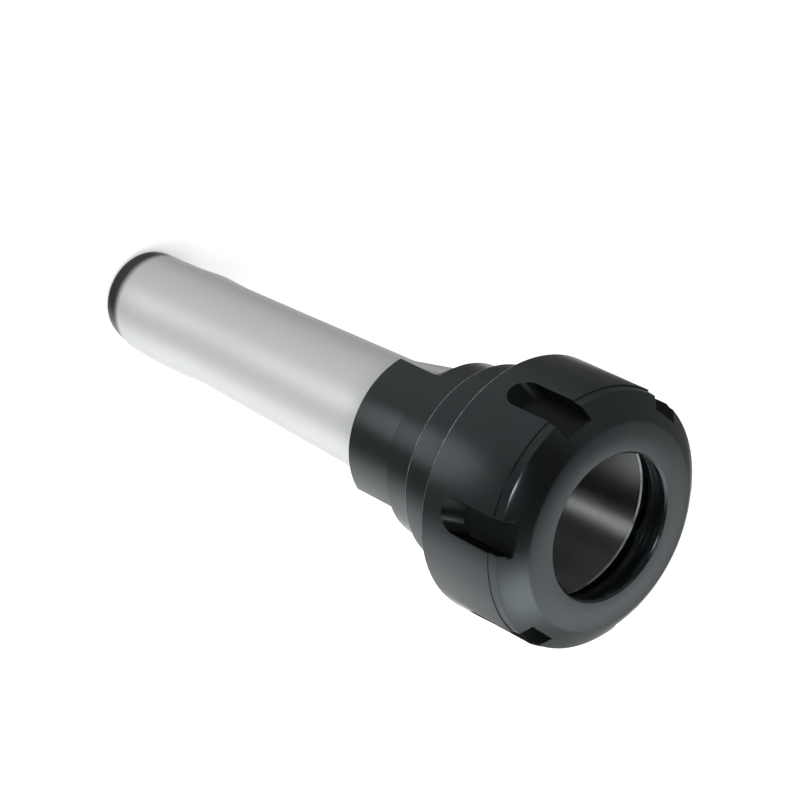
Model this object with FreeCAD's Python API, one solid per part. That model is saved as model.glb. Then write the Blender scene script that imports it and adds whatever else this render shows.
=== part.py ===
import FreeCAD, Part
import math
import os

# Collet chuck holder: a taper-shank body with a clamping nut screwed on its nose.
# Millimetres. The spindle axis is Z, the shank's small end stands at z = 0, and the nut is on top.

# Taper shank (Morse taper no. 3, with a tapped end for a drawbar)
gauge_diameter = 23.825
taper_ratio = 19.922
gauge_length = 81.0
gauge_to_collar = 5.0
shank_end_rounding = 2.4

# Tapped hole and protected centre in the shank's end (M12, thread left plain at its tapping size)
centre_mouth_diameter = 14.0
centre_half_angle = 30.0
counterbore_diameter = 12.6
counterbore_depth = 5.0
drawbar_hole_diameter = 10.2
drawbar_thread_length = 24.0
drill_half_angle = 59.0

# Collar with two spanner flats
collar_diameter = 32.0
collar_length = 12.4
flat_width = 26.0
flat_length = 10.4
flat_corner_radius = 1.0

# Stepped flange in front of the collar
step_diameter = 34.8
step_length = 7.4
root_chamfer = 0.6
flange_diameter = 39.4
flange_length = 9.4
flange_rear_chamfer = 0.55

# Threaded nose (M40 x 1.5, drawn plain between its crests and roots)
nose_diameter = 39.0
nose_length = 15.8
nose_groove_diameter = 37.4
nose_groove_length = 2.2
nose_lead_diameter = 34.4
nose_lead_length = 1.4

# Collet taper inside the nose (8 degrees a side, 32 mm at the mouth)
seat_mouth_diameter = 32.0
seat_half_angle = 8.0
seat_length = 30.0
seat_mouth_chamfer = 0.4
relief_diameter = 22.0
relief_length = 6.0

# Clamping nut
nut_diameter = 50.0
nut_length = 23.5
nut_shoulder_gap = 0.5
nut_thread_clearance = 0.1
nut_rear_chamfer = 1.1
nut_thread_lead = 0.9
nut_groove_diameter = 41.0
nut_groove_length = 2.8
nut_bevel_width = 0.5
nut_bevel_length = 0.6
nut_cone_width = 4.8
nut_cone_length = 3.6
nut_opening_diameter = 27.9
nut_opening_chamfer = 0.4
nut_opening_land = 0.8
nut_seat_half_angle = 30.0
nut_nose_clearance = 0.7

# Extractor lip inside the nut, bored off centre so that one side catches the collet's groove
lip_depth = 3.7
lip_width = 1.1
lip_height = 1.2
lip_offset = 0.55
collet_head_diameter = 33.0
collet_head_clearance = 0.9

# Hook-spanner slots round the nut
slot_count = 6
slot_width = 6.4
slot_floor_wall = 1.6
slot_length = 17.8
slot_run_out_angle = 45.0
slot_first_angle = 13.0

# Clearance by which a cutting solid stands out of what it cuts
overrun = 1.0

axis_z = FreeCAD.Vector(0, 0, 1)
origin = FreeCAD.Vector(0, 0, 0)


def tan_deg(angle):
    return math.tan(math.radians(angle))


# Heights along the axis, each from the one below
collar_z = gauge_length + gauge_to_collar
step_z = collar_z + collar_length
flange_z = step_z + step_length
groove_z = flange_z + flange_length
nose_face_z = groove_z + nose_length
nut_rear_z = groove_z + nut_shoulder_gap
nut_face_z = nut_rear_z + nut_length

# Radius at which the nut's collet seat meets the lip, and the lip's bore as it is finished
land_z = nut_face_z - nut_opening_chamfer - nut_opening_land
lip_front_z = nut_face_z - lip_depth
lip_rear_z = lip_front_z - lip_width
lip_seat_radius = nut_opening_diameter / 2 + (land_z - lip_front_z) * tan_deg(nut_seat_half_angle)
lip_bore_radius = lip_seat_radius - lip_height + lip_offset


def shank_radius(z):
    """Radius of the taper at a height above the shank's small end."""
    return (gauge_diameter + (z - gauge_length) / taper_ratio) / 2


class Outline:
    """A half section in the XZ plane, drawn point by point and turned round Z."""

    def __init__(self, radius, z):
        self.start = self.at = FreeCAD.Vector(radius, 0, z)
        self.edges = []

    def line(self, radius, z):
        target = FreeCAD.Vector(radius, 0, z)
        self.edges.append(Part.makeLine(self.at, target))
        self.at = target
        return self

    def arc(self, middle, end):
        via = FreeCAD.Vector(middle[0], 0, middle[1])
        target = FreeCAD.Vector(end[0], 0, end[1])
        self.edges.append(Part.Arc(self.at, via, target).toShape())
        self.at = target
        return self

    def turned(self):
        self.line(self.start.x, self.start.z)
        face = Part.Face(Part.Wire(self.edges))
        return face.revolve(origin, axis_z, 360)


def body_blank():
    """The turned body: shank, collar, stepped flange, nose and the bores at both ends."""
    end_radius = shank_radius(0)
    rounding = shank_end_rounding
    diagonal = rounding * math.sqrt(0.5)
    collar_radius = collar_diameter / 2
    step_radius = step_diameter / 2
    flange_radius = flange_diameter / 2
    nose_radius = nose_diameter / 2
    groove_radius = nose_groove_diameter / 2

    outline = Outline(centre_mouth_diameter / 2, 0)
    outline.line(end_radius - rounding, 0)
    outline.arc(
        (end_radius - rounding + diagonal, rounding - diagonal),
        (shank_radius(rounding), rounding),
    )
    outline.line(shank_radius(collar_z), collar_z)

    # collar, with a narrow cone at its root against the step behind the flange
    outline.line(collar_radius, collar_z)
    outline.line(collar_radius, step_z - root_chamfer)
    outline.line(collar_radius + root_chamfer, step_z)
    outline.line(step_radius, step_z)

    # flange band, its rear edge chamfered
    outline.line(step_radius, flange_z)
    outline.line(flange_radius - flange_rear_chamfer, flange_z)
    outline.line(flange_radius, flange_z + flange_rear_chamfer)
    outline.line(flange_radius, groove_z)

    # thread run-out groove and the nose
    outline.line(groove_radius, groove_z)
    outline.line(groove_radius, groove_z + nose_groove_length)
    outline.line(nose_radius, groove_z + nose_groove_length)
    outline.line(nose_radius, nose_face_z - nose_lead_length)
    outline.line(nose_lead_diameter / 2, nose_face_z)

    # collet taper and the relief bored flat under it
    seat_radius = seat_mouth_diameter / 2
    seat_bottom_z = nose_face_z - seat_length
    seat_bottom_radius = seat_radius - seat_length * tan_deg(seat_half_angle)
    chamfer_radius = seat_radius - seat_mouth_chamfer * tan_deg(seat_half_angle)
    relief_radius = relief_diameter / 2
    relief_bottom_z = seat_bottom_z - relief_length
    outline.line(seat_radius + seat_mouth_chamfer, nose_face_z)
    outline.line(chamfer_radius, nose_face_z - seat_mouth_chamfer)
    outline.line(seat_bottom_radius, seat_bottom_z)
    outline.line(relief_radius, seat_bottom_z)
    outline.line(relief_radius, relief_bottom_z)
    outline.line(0, relief_bottom_z)

    # tapped hole and protected centre, back down the axis
    drill_radius = drawbar_hole_diameter / 2
    bore_radius = counterbore_diameter / 2
    centre_depth = (centre_mouth_diameter / 2 - bore_radius) / tan_deg(centre_half_angle)
    drill_top_z = counterbore_depth + drawbar_thread_length
    outline.line(0, drill_top_z + drill_radius / tan_deg(drill_half_angle))
    outline.line(drill_radius, drill_top_z)
    outline.line(drill_radius, counterbore_depth)
    outline.line(bore_radius, counterbore_depth)
    outline.line(bore_radius, centre_depth)
    return outline.turned()


def flat_cutter():
    """What one spanner flat removes: a block with rounded inner corners, open at the collar's rear."""
    half = collar_diameter / 2 + overrun
    low = collar_z - overrun
    high = collar_z + flat_length
    block = Part.makeBox(2 * half, half, high - low, FreeCAD.Vector(-half, flat_width / 2, low))
    upper = [
        edge
        for edge in block.Edges
        if all(abs(vertex.Z - high) < 1e-6 for vertex in edge.Vertexes)
        and all(abs(vertex.Y - flat_width / 2) < 1e-6 for vertex in edge.Vertexes)
    ]
    return block.makeFillet(flat_corner_radius, upper)


def holder_body():
    first = flat_cutter()
    second = first.rotated(origin, axis_z, 180)
    return body_blank().cut([first, second])


def nut_blank():
    """The turned nut with its thread bore, collet seat, front cone, and the lip still concentric."""
    radius = nut_diameter / 2
    thread_radius = nose_diameter / 2 + nut_thread_clearance
    groove_radius = nut_groove_diameter / 2
    opening_radius = nut_opening_diameter / 2
    clearance_radius = collet_head_diameter / 2 + collet_head_clearance
    groove_top_z = nose_face_z + nut_nose_clearance
    groove_bottom_z = groove_top_z - nut_groove_length
    lip_blank_radius = lip_bore_radius - lip_offset

    outline = Outline(thread_radius + nut_thread_lead, nut_rear_z)
    outline.line(radius - nut_rear_chamfer, nut_rear_z)
    outline.line(radius, nut_rear_z + nut_rear_chamfer)

    # front edge: a narrow bevel, then the wide cone
    cone_z = nut_face_z - nut_cone_length
    cone_radius = radius - nut_bevel_width
    face_radius = cone_radius - nut_cone_width
    outline.line(radius, cone_z - nut_bevel_length)
    outline.line(cone_radius, cone_z)
    outline.line(face_radius, nut_face_z)

    # opening, 30 degree collet seat and extractor lip
    outline.line(opening_radius + nut_opening_chamfer, nut_face_z)
    outline.line(opening_radius, nut_face_z - nut_opening_chamfer)
    outline.line(opening_radius, land_z)
    outline.line(lip_seat_radius, lip_front_z)
    outline.line(lip_blank_radius, lip_front_z)
    outline.line(lip_blank_radius, lip_rear_z)
    outline.line(clearance_radius, lip_rear_z)

    # room for the nose, thread groove, thread bore and its lead
    outline.line(clearance_radius, groove_top_z)
    outline.line(groove_radius, groove_top_z)
    outline.line(groove_radius, groove_bottom_z)
    outline.line(thread_radius, groove_bottom_z)
    outline.line(thread_radius, nut_rear_z + nut_thread_lead)
    return outline.turned()


def lip_bore():
    """The off-centre bore through the extractor lip, from behind it up to its front face."""
    base = FreeCAD.Vector(lip_offset, 0, lip_rear_z - overrun)
    return Part.makeCylinder(lip_bore_radius, lip_width + overrun, base, axis_z)


def slot_cutter(angle):
    """One hook-spanner slot: round at the rear, open at the front, its end wall leaning forward.

    The plan outline stands just outside the nut and is swept inwards and forwards to the slot's floor.
    """
    half = slot_width / 2
    outside = nut_diameter / 2 + overrun
    floor_radius = nut_groove_diameter / 2 + slot_floor_wall
    reach = outside - floor_radius
    lean = tan_deg(slot_run_out_angle)
    end_z = nut_face_z - slot_length - overrun * lean
    centre_z = end_z + half
    front_z = nut_face_z + overrun
    arc = Part.Arc(
        FreeCAD.Vector(outside, half, centre_z),
        FreeCAD.Vector(outside, 0, end_z),
        FreeCAD.Vector(outside, -half, centre_z),
    ).toShape()
    right = Part.makeLine(
        FreeCAD.Vector(outside, -half, centre_z), FreeCAD.Vector(outside, -half, front_z)
    )
    front = Part.makeLine(
        FreeCAD.Vector(outside, -half, front_z), FreeCAD.Vector(outside, half, front_z)
    )
    left = Part.makeLine(
        FreeCAD.Vector(outside, half, front_z), FreeCAD.Vector(outside, half, centre_z)
    )
    plan = Part.Face(Part.Wire([arc, right, front, left]))
    cutter = plan.extrude(FreeCAD.Vector(-reach, 0, reach * lean))
    return cutter.rotated(origin, axis_z, angle)


def clamping_nut():
    pitch = 360 / slot_count
    slots = [slot_cutter(slot_first_angle + turn * pitch) for turn in range(slot_count)]
    return nut_blank().cut([lip_bore()] + slots)


os.makedirs("parts", exist_ok=True)
for name, shape in {"holder_body": holder_body(), "clamping_nut": clamping_nut()}.items():
    solid = shape.Solids[0]
    solid.exportStep("parts/" + name + ".step")
    print(name, "solids", len(shape.Solids), "valid", solid.isValid(), "volume", round(solid.Volume))
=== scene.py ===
import bmesh
import bpy
import math
import numpy as np
from mathutils import Matrix, Vector


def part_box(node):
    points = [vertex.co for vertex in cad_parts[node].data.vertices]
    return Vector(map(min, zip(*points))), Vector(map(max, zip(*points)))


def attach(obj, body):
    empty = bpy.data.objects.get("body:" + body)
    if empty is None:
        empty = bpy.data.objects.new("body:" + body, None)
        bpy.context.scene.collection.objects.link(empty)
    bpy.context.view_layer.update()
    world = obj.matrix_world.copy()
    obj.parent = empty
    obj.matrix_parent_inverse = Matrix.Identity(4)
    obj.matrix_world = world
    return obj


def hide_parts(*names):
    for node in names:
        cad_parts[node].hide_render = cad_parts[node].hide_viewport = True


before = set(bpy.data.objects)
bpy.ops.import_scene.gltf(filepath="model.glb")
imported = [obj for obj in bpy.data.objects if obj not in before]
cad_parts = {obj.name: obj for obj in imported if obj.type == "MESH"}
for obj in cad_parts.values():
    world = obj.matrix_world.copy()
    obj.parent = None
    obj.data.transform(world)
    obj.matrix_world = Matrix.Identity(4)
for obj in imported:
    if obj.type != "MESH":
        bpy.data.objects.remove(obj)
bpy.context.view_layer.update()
mm = 0.001

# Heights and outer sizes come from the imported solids, everything else from the settings below (millimetres)
bodyLow, bodyHigh = (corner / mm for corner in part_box("holder_body"))
nutLow, nutHigh = (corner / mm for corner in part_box("clamping_nut"))
endZ = bodyLow.z
noseZ = bodyHigh.z
rearZ = nutLow.z
faceZ = nutHigh.z
nutRadius = (nutHigh.x - nutLow.x) / 2
flangeRadius = (bodyHigh.x - bodyLow.x) / 2


def tanDeg(angle):
    return math.tan(math.radians(angle))


def softened(corners, steps=4):
    # corners are (radius, z, edge radius); each edge radius becomes a short arc
    points = []
    count = len(corners)
    for i, (r, z, soft) in enumerate(corners):
        here = Vector((r, z))
        if not soft:
            points.append((r, z))
            continue
        before = Vector(corners[i - 1][:2]) - here
        after = Vector(corners[(i + 1) % count][:2]) - here
        half = before.angle(after) / 2
        back = soft / math.tan(half)
        centre = here + (before.normalized() + after.normalized()).normalized() * soft / math.sin(half)
        first = here + before.normalized() * back - centre
        last = here + after.normalized() * back - centre
        sweep = first.angle_signed(last)
        for k in range(steps + 1):
            turn = Matrix.Rotation(-sweep * k / steps, 2)
            points.append(tuple(centre + turn @ first))
    return points


def arcPoints(start, end, sagitta, steps):
    # points between start and end on an arc that bows to the left of the way by sagitta
    a, b = Vector(start), Vector(end)
    chord = b - a
    side = Vector((-chord.y, chord.x)).normalized()
    return [
        tuple(a + chord * t + side * sagitta * 4 * t * (1 - t))
        for t in (k / steps for k in range(1, steps))
    ]


def toothShape(phase, crest=0.125, root=0.25):
    # 0 on the crest, 1 in the root, straight flanks between
    d = np.abs((phase % 1.0) - 0.5) * 2
    return 1 - np.clip((d - root) / (1 - crest - root), 0, 1)


def turned(name, outline, sides=256, threads=()):
    # revolves the outline (radius, z) round Z; a thread is (low z, high z, depth, pitch, sign),
    # and moves every row between its heights, also one on the far side of the wall
    rows = []
    for i, (r, z) in enumerate(outline):
        rows.append((r, z))
        nextR, nextZ = outline[(i + 1) % len(outline)]
        for low, high, depth, pitch, sign in threads:
            inside = low - 1e-6 <= min(z, nextZ) and max(z, nextZ) <= high + 1e-6
            if inside and abs(r - nextR) < 1e-6 and abs(z - nextZ) > pitch:
                extra = int(abs(nextZ - z) / pitch * 10)
                rows += [(r, z + (nextZ - z) * k / extra) for k in range(1, extra)]
    angle = np.arange(sides) * 2 * math.pi / sides
    radii = np.array([r for r, z in rows])[:, None].repeat(sides, axis=1)
    heights = np.array([z for r, z in rows])
    for low, high, depth, pitch, sign in threads:
        for i, z in enumerate(heights):
            if low < z < high:
                fade = min(1.0, (z - low) / (pitch * 0.5), (high - z) / (pitch * 0.5))
                phase = z / pitch - angle / (2 * math.pi)
                radii[i] += sign * depth * fade * toothShape(phase)
    vertices = []
    index = np.zeros((len(rows), sides), int)
    for i, (r, z) in enumerate(rows):
        if r < 1e-6:
            index[i] = len(vertices)
            vertices.append((0, 0, z * mm))
            continue
        index[i] = len(vertices) + np.arange(sides)
        vertices += [
            (radii[i, j] * math.cos(angle[j]) * mm, radii[i, j] * math.sin(angle[j]) * mm, z * mm)
            for j in range(sides)
        ]
    closed = rows[0][0] > 1e-6
    faces = []
    for i in range(len(rows) - (0 if closed else 1)):
        k = (i + 1) % len(rows)
        for j in range(sides):
            n = (j + 1) % sides
            ring = [index[i, j], index[i, n], index[k, n], index[k, j]]
            ring = [v for c, v in enumerate(ring) if v not in ring[:c]]
            if len(ring) > 2:
                faces.append([int(v) for v in ring])
    return meshObject(name, vertices, faces)


def meshObject(name, vertices, faces):
    mesh = bpy.data.meshes.new(name)
    mesh.from_pydata(vertices, [], faces)
    mesh.validate()
    made = bpy.data.objects.new(name, mesh)
    bpy.context.scene.collection.objects.link(made)
    return made


def faceOutwards(made):
    work = bmesh.new()
    work.from_mesh(made.data)
    bmesh.ops.recalc_face_normals(work, faces=work.faces)
    if work.calc_volume(signed=True) < 0:
        bmesh.ops.reverse_faces(work, faces=work.faces)
    work.to_mesh(made.data)
    work.free()


def applyModifiers(made):
    graph = bpy.context.evaluated_depsgraph_get()
    result = bpy.data.meshes.new_from_object(made.evaluated_get(graph))
    made.modifiers.clear()
    made.data = result


def smoothed(made, sharpAngle=38):
    made.data.shade_smooth()
    made.data.set_sharp_from_angle(angle=math.radians(sharpAngle))


def linear(hexColour, alpha=1.0):
    parts = [int(hexColour[i:i + 2], 16) / 255 for i in (1, 3, 5)]
    return [p / 12.92 if p <= 0.04045 else ((p + 0.055) / 1.055) ** 2.4 for p in parts] + [alpha]


def add(tree, kind, links=None, settings=None, values=None):
    # one node with its properties, socket values and incoming links
    node = tree.nodes.new(kind)
    for key, value in (settings or {}).items():
        setattr(node, key, value)
    for key, value in (values or {}).items():
        node.inputs[key].default_value = value
    for key, source in (links or {}).items():
        tree.links.new(source, node.inputs[key])
    return node


def newMaterial(name):
    material = bpy.data.materials.new(name)
    material.use_nodes = True
    material.node_tree.nodes.clear()
    return material, material.node_tree


# where a point is on the part, its height, and its distance from the axis, in metres
def turningCoordinates(tree):
    place = add(tree, "ShaderNodeTexCoord").outputs["Object"]
    parts = add(tree, "ShaderNodeSeparateXYZ", {0: place})
    flat = add(tree, "ShaderNodeCombineXYZ", {0: parts.outputs[0], 1: parts.outputs[1]})
    radius = add(tree, "ShaderNodeVectorMath", {0: flat.outputs[0]}, {"operation": "LENGTH"})
    return place, parts.outputs[2], radius.outputs["Value"]


# Black oxide (gun-black) on turned steel: a thin matt-black magnetite layer with an oiled, softly glossy skin
blackOxide = {
    "name": "black_oxide_turned_steel",
    "colour": "#08090a",
    "patchy": "#0e1011",
    "tint": "#e6f6fa",
    "roughness": (0.21, 0.27),
    "turningPitch": 0.35,    # mm between tool marks; the real 0.1 mm feed is too fine to show, so drawn coarser
    "bump": 0.006,           # mm, height of a tool mark
    "cloudSize": 11.111,     # mm, patches where the oxide took darker or lighter
    "grainSize": 0.25,       # mm; crystals are a micron across, drawn coarser so that they break up the gloss
    "ior": 1.9,
}


# The same finish on the milled slots: the cutter leaves a rougher wall that holds the oxide matt; its darker
# colours are painted shade in the slots
milledOxideShaded = dict(blackOxide, name="black_oxide_slots_painted_shade", colour="#030404", patchy="#060707",
                   roughness=(0.3, 0.36), ior=1.4)


def makeBlackOxide(s):
    material, tree = newMaterial(s["name"])
    place, height, radius = turningCoordinates(tree)
    both = add(tree, "ShaderNodeMath", {0: height, 1: radius}, {"operation": "ADD"})
    wide = add(tree, "ShaderNodeCombineXYZ", {0: both.outputs[0]})
    marks = add(tree, "ShaderNodeTexNoise", {"Vector": wide.outputs[0]},
                values={"Scale": 1 / (s["turningPitch"] * mm), "Detail": 2.0, "Roughness": 0.6})
    cloud = add(tree, "ShaderNodeTexNoise", {"Vector": place}, values={
        "Scale": 1 / (s["cloudSize"] * mm), "Detail": 4.0, "Roughness": 0.55})
    grain = add(tree, "ShaderNodeTexNoise", {"Vector": place}, values={
        "Scale": 1 / (s["grainSize"] * mm), "Detail": 2.0})
    share = add(tree, "ShaderNodeMapRange", {"Value": cloud.outputs["Fac"]}, values={
        "From Min": 0.3, "From Max": 0.75})
    colour = add(tree, "ShaderNodeMix", {0: share.outputs[0]}, {"data_type": "RGBA"}, {
        6: linear(s["colour"]), 7: linear(s["patchy"])})
    low, high = s["roughness"]
    rough = add(tree, "ShaderNodeMapRange", {"Value": cloud.outputs["Fac"]}, values={
        "From Min": 0.3, "From Max": 0.7, "To Min": low, "To Max": high})
    mixed = add(tree, "ShaderNodeMath", {0: marks.outputs["Fac"], 1: grain.outputs["Fac"]}, {"operation": "ADD"})
    bump = add(tree, "ShaderNodeBump", {"Height": mixed.outputs[0]}, values={
        "Strength": 0.25, "Distance": s["bump"] * mm})
    shader = add(tree, "ShaderNodeBsdfPrincipled", {
        "Base Color": colour.outputs[2], "Roughness": rough.outputs[0], "Normal": bump.outputs[0],
    }, values={"Metallic": 0.0, "IOR": s["ior"], "Specular Tint": linear(s["tint"])})
    add(tree, "ShaderNodeOutputMaterial", {"Surface": shader.outputs[0]})
    return material


# The turned rear edges of flange and nut, and the mouth of the seat: grey steel colour in patches on black oxide,
# a painted highlight standing in for the thin bright lines of light on these chamfers
edgeHighlight = {
    "name": "painted_edge_highlight",
    "oxide": "#14181a",
    "steel": "#a3aaac",
    "roughness": 0.4,
    "metallic": 0.5,         # half oxide, half metal shine, for the painted highlight
    "patchSize": 3.0,        # mm, length of a stretch of painted highlight
}


def makeEdgeHighlight(s):
    material, tree = newMaterial(s["name"])
    place = turningCoordinates(tree)[0]
    patchy = add(tree, "ShaderNodeTexNoise", {"Vector": place}, values={
        "Scale": 1 / (s["patchSize"] * mm), "Detail": 3.0})
    share = add(tree, "ShaderNodeMapRange", {"Value": patchy.outputs["Fac"]}, values={
        "From Min": 0.25, "From Max": 0.55})
    colour = add(tree, "ShaderNodeMix", {0: share.outputs[0]}, {"data_type": "RGBA"}, {
        6: linear(s["oxide"]), 7: linear(s["steel"])})
    # grey steel colour mixed in by the patches: the painted highlight
    shader = add(tree, "ShaderNodeBsdfPrincipled", {"Base Color": colour.outputs[2]}, values={
        "Metallic": s["metallic"], "Roughness": s["roughness"]})
    add(tree, "ShaderNodeOutputMaterial", {"Surface": shader.outputs[0]})
    return material


# Ground steel shank: bare hardened steel from a cylindrical grinder, fine lines round the taper, satin shine;
# the small end stays black where the grinding wheel has run out
groundSteel = {
    "name": "ground_steel_shank",
    "colour": "#e3e6e5",
    "shade": "#dcdfde",
    "black": "#0e1011",
    "roughness": (0.36, 0.42),
    "metallic": 0.55,        # the ground lines scatter part of the light as a matt surface does
    "blackRoughness": 0.3,
    "cloudSize": 16.667,     # mm, slow changes of shine along the shank
    "bump": 0.004,           # mm, height of a grinding line
    "linePitch": 0.5,        # mm; grinding lines are some hundredths wide, drawn coarser so that they show
    "blackEnd": (4.2, 7.0),  # mm from the small end, over which black gives way to bare steel
}


def makeGroundSteel(s):
    material, tree = newMaterial(s["name"])
    place, height = turningCoordinates(tree)[:2]
    wide = add(tree, "ShaderNodeCombineXYZ", {0: height})
    lines = add(tree, "ShaderNodeTexNoise", {"Vector": wide.outputs[0]},
                values={"Scale": 1 / (s["linePitch"] * mm), "Detail": 5.0, "Roughness": 0.7})
    cloud = add(tree, "ShaderNodeTexNoise", {"Vector": place}, values={
        "Scale": 1 / (s["cloudSize"] * mm), "Detail": 3.0})
    share = add(tree, "ShaderNodeMapRange", {"Value": lines.outputs["Fac"]}, values={
        "From Min": 0.3, "From Max": 0.7})
    steel = add(tree, "ShaderNodeMix", {0: share.outputs[0]}, {"data_type": "RGBA"}, {
        6: linear(s["shade"]), 7: linear(s["colour"])})
    low, high = s["roughness"]
    rough = add(tree, "ShaderNodeMapRange", {"Value": cloud.outputs["Fac"]}, values={
        "From Min": 0.3, "From Max": 0.7, "To Min": low, "To Max": high})
    edge = add(tree, "ShaderNodeMapRange", {"Value": height}, {"interpolation_type": "SMOOTHSTEP"}, {
        "From Min": s["blackEnd"][0] * mm, "From Max": s["blackEnd"][1] * mm, "To Min": 0.0, "To Max": 1.0})
    bump = add(tree, "ShaderNodeBump", {"Height": lines.outputs["Fac"]}, values={
        "Strength": 0.2, "Distance": s["bump"] * mm})
    bare = add(tree, "ShaderNodeBsdfPrincipled", {
        "Base Color": steel.outputs[2], "Roughness": rough.outputs[0], "Normal": bump.outputs[0],
    }, values={"Metallic": s["metallic"]})
    black = add(tree, "ShaderNodeBsdfPrincipled", values={
        "Base Color": linear(s["black"]), "Metallic": 0.0, "Roughness": s["blackRoughness"], "IOR": 1.9})
    both = add(tree, "ShaderNodeMixShader", {0: edge.outputs[0], 1: black.outputs[0], 2: bare.outputs[0]})
    add(tree, "ShaderNodeOutputMaterial", {"Surface": both.outputs[0]})
    return material


# Polished collet seat: hardened steel ground and honed inside the nose, sharp streaks of light round the cone
seatSteel = {
    "name": "honed_collet_seat",
    "colour": "#c4c6c6",
    "shade": "#babcbc",
    "roughness": 0.5,
    "spread": 1.0,           # round honing lines spread light along the bore, not round it
    "bump": 0.004,           # mm, height of a honing line
    "linePitch": 0.6,        # mm, drawn coarser than the real honing lines so that they show
}


def makeSeatSteel(s):
    material, tree = newMaterial(s["name"])
    height = turningCoordinates(tree)[1]
    wide = add(tree, "ShaderNodeCombineXYZ", {0: height})
    lines = add(tree, "ShaderNodeTexNoise", {"Vector": wide.outputs[0]},
                values={"Scale": 1 / (s["linePitch"] * mm), "Detail": 4.0, "Roughness": 0.65})
    share = add(tree, "ShaderNodeMapRange", {"Value": lines.outputs["Fac"]}, values={
        "From Min": 0.3, "From Max": 0.7})
    steel = add(tree, "ShaderNodeMix", {0: share.outputs[0]}, {"data_type": "RGBA"}, {
        6: linear(s["shade"]), 7: linear(s["colour"])})
    bump = add(tree, "ShaderNodeBump", {"Height": lines.outputs["Fac"]}, values={
        "Strength": 0.25, "Distance": s["bump"] * mm})
    around = add(tree, "ShaderNodeTangent", settings={"direction_type": "RADIAL", "axis": "Z"})
    shader = add(tree, "ShaderNodeBsdfPrincipled", {
        "Base Color": steel.outputs[2], "Normal": bump.outputs[0], "Tangent": around.outputs[0],
    }, values={
        "Metallic": 1.0, "Roughness": s["roughness"], "Anisotropic": s["spread"], "Anisotropic Rotation": 0.25})
    add(tree, "ShaderNodeOutputMaterial", {"Surface": shader.outputs[0]})
    return material


blackOxideMaterial = makeBlackOxide(blackOxide)
milledOxideShadedMaterial = makeBlackOxide(milledOxideShaded)
edgeHighlightMaterial = makeEdgeHighlight(edgeHighlight)
groundSteelMaterial = makeGroundSteel(groundSteel)
seatSteelMaterial = makeSeatSteel(seatSteel)
print("materials made")


body = {
    "gaugeDiameter": 23.825, "taperRatio": 19.922, "gaugeLength": 81.0, "collarGap": 5.0,
    "endRounding": 2.4, "centreMouth": 14.0, "centreHalfAngle": 30.0, "counterbore": 12.6, "counterboreDepth": 5.0,
    "drill": 10.2, "threadLength": 24.0, "drillHalfAngle": 59.0, "drawbarPitch": 1.75, "drawbarDepth": 0.85,
    "collar": 32.0, "collarLength": 12.4, "flatWidth": 26.0, "flatLength": 10.4, "flatCorner": 1.0,
    "flatEdge": 0.15,
    "step": 34.8, "stepLength": 7.4, "rootChamfer": 0.6, "flangeLength": 9.4, "rearChamfer": 0.55,
    "nose": 39.0, "groove": 37.4, "grooveLength": 2.2, "lead": 34.4, "leadLength": 1.4,
    "nosePitch": 1.5, "noseThreadDepth": 0.42,
    "mouth": 32.0, "seatHalfAngle": 8.0, "seatLength": 30.0, "mouthChamfer": 0.25,
    "relief": 22.0, "reliefLength": 6.0,
}


def shankRadius(s, z):
    return (s["gaugeDiameter"] + (z - s["gaugeLength"]) / s["taperRatio"]) / 2


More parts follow.
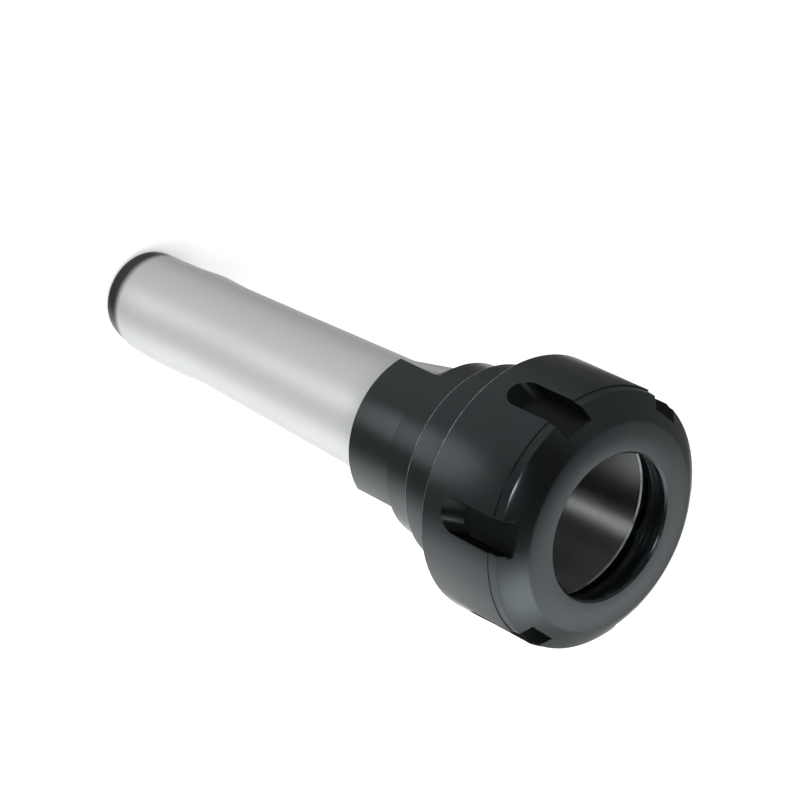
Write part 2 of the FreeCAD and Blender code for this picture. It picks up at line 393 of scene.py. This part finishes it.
def makeBody(s):
    collarZ = endZ + s["gaugeLength"] + s["collarGap"]
    stepZ = collarZ + s["collarLength"]
    flangeZ = stepZ + s["stepLength"]
    grooveZ = flangeZ + s["flangeLength"]
    noseThreadZ = grooveZ + s["grooveLength"]
    leadZ = noseZ - s["leadLength"]
    endRadius = shankRadius(s, 0)
    seatBottomZ = noseZ - s["seatLength"]
    seatTan = tanDeg(s["seatHalfAngle"])
    drillTop = endZ + s["counterboreDepth"] + s["threadLength"]
    centreDepth = (s["centreMouth"] - s["counterbore"]) / 2 / tanDeg(s["centreHalfAngle"])
    corners = [
        (0, drillTop + s["drill"] / 2 / tanDeg(s["drillHalfAngle"]), 0),
        (s["drill"] / 2, drillTop, 0),
        (s["drill"] / 2, s["counterboreDepth"], 0.1),
        (s["counterbore"] / 2, s["counterboreDepth"], 0.1),
        (s["counterbore"] / 2, centreDepth, 0.1),
        (s["centreMouth"] / 2, endZ, 0.08),
        (endRadius - s["endRounding"], endZ, 0),
    ]
    outline = softened(corners)
    rounding = s["endRounding"]
    for k in range(1, 9):
        a = math.radians(90 * k / 8)
        outline.append((endRadius - rounding + rounding * math.sin(a), rounding - rounding * math.cos(a)))
    outline[-1] = (shankRadius(s, rounding), rounding)
    outline += [(shankRadius(s, z), z) for z in np.linspace(rounding + 4, collarZ, 12)[:-1]]
    upper = [
        (shankRadius(s, collarZ), collarZ, 0),
        (s["collar"] / 2, collarZ, 0.3),
        (s["collar"] / 2, stepZ - s["rootChamfer"], 0.5),
        (s["collar"] / 2 + s["rootChamfer"], stepZ, 0.2),
        (s["step"] / 2, stepZ, 0.3),
        (s["step"] / 2, flangeZ, 0.2),
        (flangeRadius - s["rearChamfer"], flangeZ, 0.08),
        (flangeRadius, flangeZ + s["rearChamfer"], 0.25),
        (flangeRadius, grooveZ, 0.25),
        (s["groove"] / 2, grooveZ, 0.1),
        (s["groove"] / 2, noseThreadZ, 0),
        (s["nose"] / 2, noseThreadZ, 0),
        (s["nose"] / 2, leadZ, 0.15),
        (s["lead"] / 2, noseZ, 0.1),
        (s["mouth"] / 2 + s["mouthChamfer"], noseZ, 0.06),
        (s["mouth"] / 2 - s["mouthChamfer"] * seatTan, noseZ - s["mouthChamfer"], 0.06),
        (s["mouth"] / 2 - s["seatLength"] * seatTan, seatBottomZ, 0.1),
        (s["relief"] / 2, seatBottomZ, 0.1),
        (s["relief"] / 2, seatBottomZ - s["reliefLength"], 0.3),
        (0, seatBottomZ - s["reliefLength"], 0),
    ]
    outline += softened(upper)
    made = turned("holder_body_turned", outline, threads=[
        (endZ + s["counterboreDepth"] + 0.6, drillTop - 1.0, s["drawbarDepth"], s["drawbarPitch"], 1),
        (noseThreadZ, leadZ, s["noseThreadDepth"], s["nosePitch"], -1),
    ])
    faceOutwards(made)
    cutFlats(made, s, collarZ)
    smoothed(made)
    return made, collarZ, seatBottomZ


def cutFlats(made, s, collarZ):
    # two spanner flats, each a block with a rounded inner front corner
    half = s["collar"] / 2 + 1
    y0 = s["flatWidth"] / 2
    top = collarZ + s["flatLength"]
    corner = s["flatCorner"]
    section = [(y0, collarZ - 1)]
    for k in range(7):
        a = math.radians(90 * k / 6)
        section.append((y0 + corner - corner * math.cos(a), top - corner + corner * math.sin(a)))
    section += [(half, top), (half, collarZ - 1)]
    cutters = []
    for side in (1, -1):
        vertices = [(x * mm, side * y * mm, z * mm) for x in (-half, half) for y, z in section]
        count = len(section)
        faces = [list(range(count)), list(range(2 * count - 1, count - 1, -1))]
        faces += [[i, (i + 1) % count, count + (i + 1) % count, count + i] for i in range(count)]
        cutter = meshObject("flatCutter", vertices, faces)
        faceOutwards(cutter)
        cutters.append(cutter)
    subtract(made, cutters, s["flatEdge"])


def subtract(made, cutters, edge):
    # cuts the solids away, then breaks the new sharp edges by a fine bevel
    for cutter in cutters:
        cut = made.modifiers.new("cut", "BOOLEAN")
        cut.operation = "DIFFERENCE"
        cut.solver = "EXACT"
        cut.object = cutter
    bevel = made.modifiers.new("edge", "BEVEL")
    bevel.width = edge * mm
    bevel.segments = 2
    bevel.limit_method = "ANGLE"
    bevel.angle_limit = math.radians(33)
    applyModifiers(made)
    for cutter in cutters:
        bpy.data.objects.remove(cutter)


def paintBody(made, collarZ, seatBottomZ):
    # one piece of steel: black oxide, ground shank, honed seat, and a painted highlight in grey steel colour on
    # the flange's rear chamfer and the seat mouth
    for material in (blackOxideMaterial, groundSteelMaterial, seatSteelMaterial, edgeHighlightMaterial):
        made.data.materials.append(material)
    for face in made.data.polygons:
        x, y, z = (c / mm for c in face.center)
        r = math.hypot(x, y)
        onMouth = noseZ - body["mouthChamfer"] - 0.05 < z < noseZ - 0.01 and r < body["mouth"] / 2 + 0.3
        if z < collarZ - 0.01:
            face.material_index = 1
        # the seat mouth chamfer: painted highlight
        elif onMouth:
            face.material_index = 3
        elif r < body["mouth"] / 2 + 0.2 and z > seatBottomZ - body["reliefLength"] - 1:
            face.material_index = 2
        # the flange's rear chamfer: painted highlight
        elif r > flangeRadius - 0.15 and -0.65 < face.normal.z < -0.05:
            face.material_index = 3


holder, collarZ, seatBottomZ = makeBody(body)
paintBody(holder, collarZ, seatBottomZ)
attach(holder, "body")
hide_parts("holder_body")
print("holder body made:", len(holder.data.polygons), "faces")


nut = {
    "threadBore": 39.2, "threadPitch": 1.5, "threadDepth": 0.4, "threadLead": 0.9,
    "groove": 41.0, "grooveLength": 2.8,
    "noseClearance": 0.7, "rearChamfer": 1.1, "bevelWidth": 0.5, "bevelLength": 0.6,
    "coneWidth": 4.8, "coneLength": 3.6, "coneCrown": 0.16,
    "opening": 27.9, "openingChamfer": 0.4, "openingLand": 0.8, "seatHalfAngle": 30.0,
    "lipDepth": 3.7, "lipWidth": 1.1, "lipHeight": 1.2, "lipOffset": 0.55, "headRoom": 34.8,
    "slots": 6, "slotWidth": 6.4, "slotWall": 1.6, "slotLength": 17.8, "runOut": 45.0, "firstSlot": 13.0,
    "slotEdge": 0.16,
}


def makeNut(s):
    coneZ = faceZ - s["coneLength"]
    coneRadius = nutRadius - s["bevelWidth"]
    innerRadius = coneRadius - s["coneWidth"]
    landZ = faceZ - s["openingChamfer"] - s["openingLand"]
    lipFront = faceZ - s["lipDepth"]
    lipRear = lipFront - s["lipWidth"]
    lipSeat = s["opening"] / 2 + (landZ - lipFront) * tanDeg(s["seatHalfAngle"])
    lipBore = lipSeat - s["lipHeight"]
    grooveTop = noseZ + s["noseClearance"]
    grooveLow = grooveTop - s["grooveLength"]
    leadTop = rearZ + s["threadLead"]
    outline = softened([
        (s["threadBore"] / 2 + s["threadLead"], rearZ, 0.1),
        (nutRadius - s["rearChamfer"], rearZ, 0.1),
        (nutRadius, rearZ + s["rearChamfer"], 0.3),
        (nutRadius, coneZ - s["bevelLength"], 0.15),
    ])
    outline.append((coneRadius, coneZ))
    outline += arcPoints((coneRadius, coneZ), (innerRadius, faceZ), -s["coneCrown"], 10)
    outline += softened([
        (innerRadius, faceZ, 0),
        (s["opening"] / 2 + s["openingChamfer"], faceZ, 0.08),
        (s["opening"] / 2, faceZ - s["openingChamfer"], 0.08),
        (s["opening"] / 2, landZ, 0.08),
        (lipSeat, lipFront, 0),
        (lipBore, lipFront, 0.06),
        (lipBore, lipRear, 0.06),
        (s["headRoom"] / 2, lipRear, 0.1),
        (s["headRoom"] / 2, grooveTop, 0.1),
        (s["groove"] / 2, grooveTop, 0.1),
        (s["groove"] / 2, grooveLow, 0.1),
        (s["threadBore"] / 2, grooveLow, 0),
        (s["threadBore"] / 2, leadTop, 0),
    ])
    made = turned("clamping_nut_turned", outline, threads=[
        (leadTop, grooveLow, s["threadDepth"], s["threadPitch"], 1),
    ])
    shiftLip(made, s, lipBore, lipSeat, lipFront, lipRear)
    faceOutwards(made)
    turns = [s["firstSlot"] + k * 360 / s["slots"] for k in range(s["slots"])]
    subtract(made, [slotCutter(s, turn) for turn in turns], s["slotEdge"])
    for vertex in made.data.vertices:    # brings back what the thread or the bevel put past the outside
        out = math.hypot(vertex.co.x, vertex.co.y) / (nutRadius * mm)
        if out > 1:
            vertex.co = Vector((vertex.co.x / out, vertex.co.y / out, vertex.co.z))
    smoothed(made)
    return made


def shiftLip(made, s, lipBore, lipSeat, lipFront, lipRear):
    # the lip is bored off centre, so its rings move sideways and it is deepest on one side
    for vertex in made.data.vertices:
        x, y, z = (c / mm for c in vertex.co)
        onLip = lipRear - 0.01 <= z <= lipFront + 0.01 and math.hypot(x, y) < lipBore + 0.2
        if onLip:
            grown = 1 + s["lipOffset"] / lipBore
            vertex.co = Vector((x * grown + s["lipOffset"], y * grown, z)) * mm


def slotCutter(s, turn):
    # round-ended plan outside the nut, swept inwards and forwards so that the end wall leans
    half = s["slotWidth"] / 2
    outside = nutRadius + 1
    reach = outside - s["groove"] / 2 - s["slotWall"]
    lean = tanDeg(s["runOut"])
    centreZ = faceZ - s["slotLength"] - lean + half
    plan = [(half * math.cos(a), centreZ - half * math.sin(a))
            for a in (math.pi * k / 24 for k in range(25))]
    plan += [(-half, faceZ + 1), (half, faceZ + 1)]
    vertices = [(outside * mm, y * mm, z * mm) for y, z in plan]
    vertices += [((outside - reach) * mm, y * mm, (z + reach * lean) * mm) for y, z in plan]
    count = len(plan)
    faces = [list(range(count)), list(range(2 * count - 1, count - 1, -1))]
    faces += [[i, (i + 1) % count, count + (i + 1) % count, count + i] for i in range(count)]
    cutter = meshObject("slotCutter", vertices, faces)
    cutter.data.transform(Matrix.Rotation(math.radians(turn), 4, "Z"))
    faceOutwards(cutter)
    return cutter


def paintNut(made, s):
    # turned faces, milled slots with painted shade, and a painted highlight on the rear chamfer
    for material in (blackOxideMaterial, milledOxideShadedMaterial, edgeHighlightMaterial):
        made.data.materials.append(material)
    floorRadius = s["groove"] / 2 + s["slotWall"]
    for face in made.data.polygons:
        x, y, z = (c / mm for c in face.center)
        inside = floorRadius - 0.05 < math.hypot(x, y) < nutRadius - 0.1
        turn = (math.degrees(math.atan2(y, x)) - s["firstSlot"] + 30) % (360 / s["slots"]) - 30
        across = abs(math.hypot(x, y) * math.sin(math.radians(turn)))
        # slot walls and floors: darker oxide, painted shade
        if inside and z < faceZ - 0.3 and z > rearZ + 2 and across < s["slotWidth"] / 2 + 0.01:
            face.material_index = 1
        # the rear chamfer: painted highlight
        elif math.hypot(x, y) > nutRadius - 0.15 and z < rearZ + 1.6 and -0.65 < face.normal.z < -0.05:
            face.material_index = 2


clampingNut = makeNut(nut)
paintNut(clampingNut, nut)
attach(clampingNut, "nut")
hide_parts("clamping_nut")
print("clamping nut made:", len(clampingNut.data.polygons), "faces")


studio = {
    "floor": "#f4f4f4",
    "floorSize": 6000,
    "floorGlow": 0.35,       # what the camera alone sees on top of the lit floor, to keep it white
    "sky": 0.62,
    "seenSky": 1.0,
}


def makeFloor(s):
    size = s["floorSize"] * mm
    corners = [(-size, -size, 0), (size, -size, 0), (size, size, 0), (-size, size, 0)]
    floor = meshObject("floor", corners, [[0, 1, 2, 3]])
    material, tree = newMaterial("pale_floor")
    path = add(tree, "ShaderNodeLightPath")
    diffuse = add(tree, "ShaderNodeBsdfDiffuse", values={"Color": linear(s["floor"])})
    glow = add(tree, "ShaderNodeEmission", values={
        "Color": [1, 1, 1, 1], "Strength": s["floorGlow"]})
    lit = add(tree, "ShaderNodeAddShader", {0: diffuse.outputs[0], 1: glow.outputs[0]})
    mixed = add(tree, "ShaderNodeMixShader", {
        0: path.outputs["Is Camera Ray"], 1: diffuse.outputs[0], 2: lit.outputs[0]})
    add(tree, "ShaderNodeOutputMaterial", {"Surface": mixed.outputs[0]})
    floor.data.materials.append(material)
    floor.visible_glossy = False    # shiny surfaces show the surroundings below instead


# What the surroundings look like to a shiny surface: a plain level plus soft patches, each
# (azimuth, elevation, inner half angle, outer half angle, brightness added)
surroundings = {
    "level": 0.17,
    "patches": {
        "pale table": (115, 0, 47, 77, 0.83),
        "shade under the holder": (145, -8, 18, 47, -0.6),
        "side softbox": (-2, -43, 5, 19, 0.85),
        "ceiling": (-60, -35, 10, 50, 0.17),
        "far wall": (165, 38, 10, 40, 0.2),
        "dark room": (12, 58, 30, 55, -0.17),
        "low wall": (168, -45, 8, 28, 0.8),
        "ceiling strip": (100, 40, 6, 22, 0.9),
        "strip light": (-4, 42, 2.5, 6, 20.0),
    },
}


def makeWorld(s, around):
    world = bpy.data.worlds.new("studio")
    bpy.context.scene.world = world
    world.use_nodes = True
    tree = world.node_tree
    tree.nodes.clear()
    path = add(tree, "ShaderNodeLightPath")
    way = add(tree, "ShaderNodeTexCoord").outputs["Generated"]
    total = None
    for azimuth, elevation, inner, outer, brightness in around["patches"].values():
        near = add(tree, "ShaderNodeVectorMath", {0: way}, {"operation": "DOT_PRODUCT"}, {
            1: direction(azimuth, elevation)})
        patch = add(tree, "ShaderNodeMapRange", {"Value": near.outputs["Value"]}, {
            "interpolation_type": "SMOOTHSTEP"}, {
            "From Min": math.cos(math.radians(outer)), "From Max": math.cos(math.radians(inner)),
            "To Min": 0.0, "To Max": brightness})
        joined = add(tree, "ShaderNodeMath", {1: patch.outputs[0]}, {"operation": "ADD"}, {0: around["level"]})
        if total:
            tree.links.new(total, joined.inputs[0])
        total = joined.outputs[0]
    total = add(tree, "ShaderNodeMath", {0: total}, {"operation": "MAXIMUM"}, {1: 0.0}).outputs[0]
    plain = add(tree, "ShaderNodeBackground", values={"Color": [1, 1, 1, 1], "Strength": s["sky"]})
    shiny = add(tree, "ShaderNodeBackground", {"Strength": total}, values={"Color": [1, 1, 1, 1]})
    seen = add(tree, "ShaderNodeBackground", values={"Color": [1, 1, 1, 1], "Strength": s["seenSky"]})
    mixed = add(tree, "ShaderNodeMixShader", {
        0: path.outputs["Is Glossy Ray"], 1: plain.outputs[0], 2: shiny.outputs[0]})
    final = add(tree, "ShaderNodeMixShader", {
        0: path.outputs["Is Camera Ray"], 1: mixed.outputs[0], 2: seen.outputs[0]})
    add(tree, "ShaderNodeOutputWorld", {"Surface": final.outputs[0]})


camera = {
    "target": (-0.8, -3.8, 79.8), "distance": 552.0,
    "azimuth": -11.44, "elevation": 42.89, "roll": -116.09, "lens": 130.09,
}


def direction(azimuth, elevation):
    a, e = math.radians(azimuth), math.radians(elevation)
    return Vector((math.cos(e) * math.cos(a), math.cos(e) * math.sin(a), math.sin(e)))


def makeCamera(s):
    data = bpy.data.cameras.new("camera")
    data.lens = s["lens"]
    data.sensor_width = 36
    data.clip_end = 20
    made = bpy.data.objects.new("camera", data)
    bpy.context.scene.collection.objects.link(made)
    towards = direction(s["azimuth"], s["elevation"])
    upright = (-towards).to_track_quat("-Z", "Y").to_matrix()
    rolled = upright @ Matrix.Rotation(math.radians(-s["roll"]), 3, "Z")
    made.matrix_world = Matrix.Translation((Vector(s["target"]) + towards * s["distance"]) * mm) @ rolled.to_4x4()
    bpy.context.scene.camera = made


# each lamp: (azimuth, elevation), distance, size and power in watts, aimed at a point on the axis
lamps = {
    "key": {"towards": (20, 45), "distance": 700, "size": (500, 500), "power": 4.2},
    "fill": {"towards": (90, 40), "distance": 900, "size": (500, 500), "power": 1.0},
}


def softbox(name, towards, distance, size, power, target=(0, 0, 100)):
    data = bpy.data.lights.new(name, "AREA")
    data.shape = "RECTANGLE"
    data.size, data.size_y = (side * mm for side in size)
    data.energy = power
    made = bpy.data.objects.new(name, data)
    made.visible_glossy = False    # its reflection is among the surroundings
    bpy.context.scene.collection.objects.link(made)
    way = direction(*towards)
    made.matrix_world = (Matrix.Translation((Vector(target) + way * distance) * mm)
                         @ (-way).to_track_quat("-Z", "Y").to_matrix().to_4x4())


makeFloor(studio)
makeWorld(studio, surroundings)
makeCamera(camera)
for name, lamp in lamps.items():
    softbox(name, **lamp)
bpy.context.scene.view_settings.view_transform = "Standard"
print("studio made")
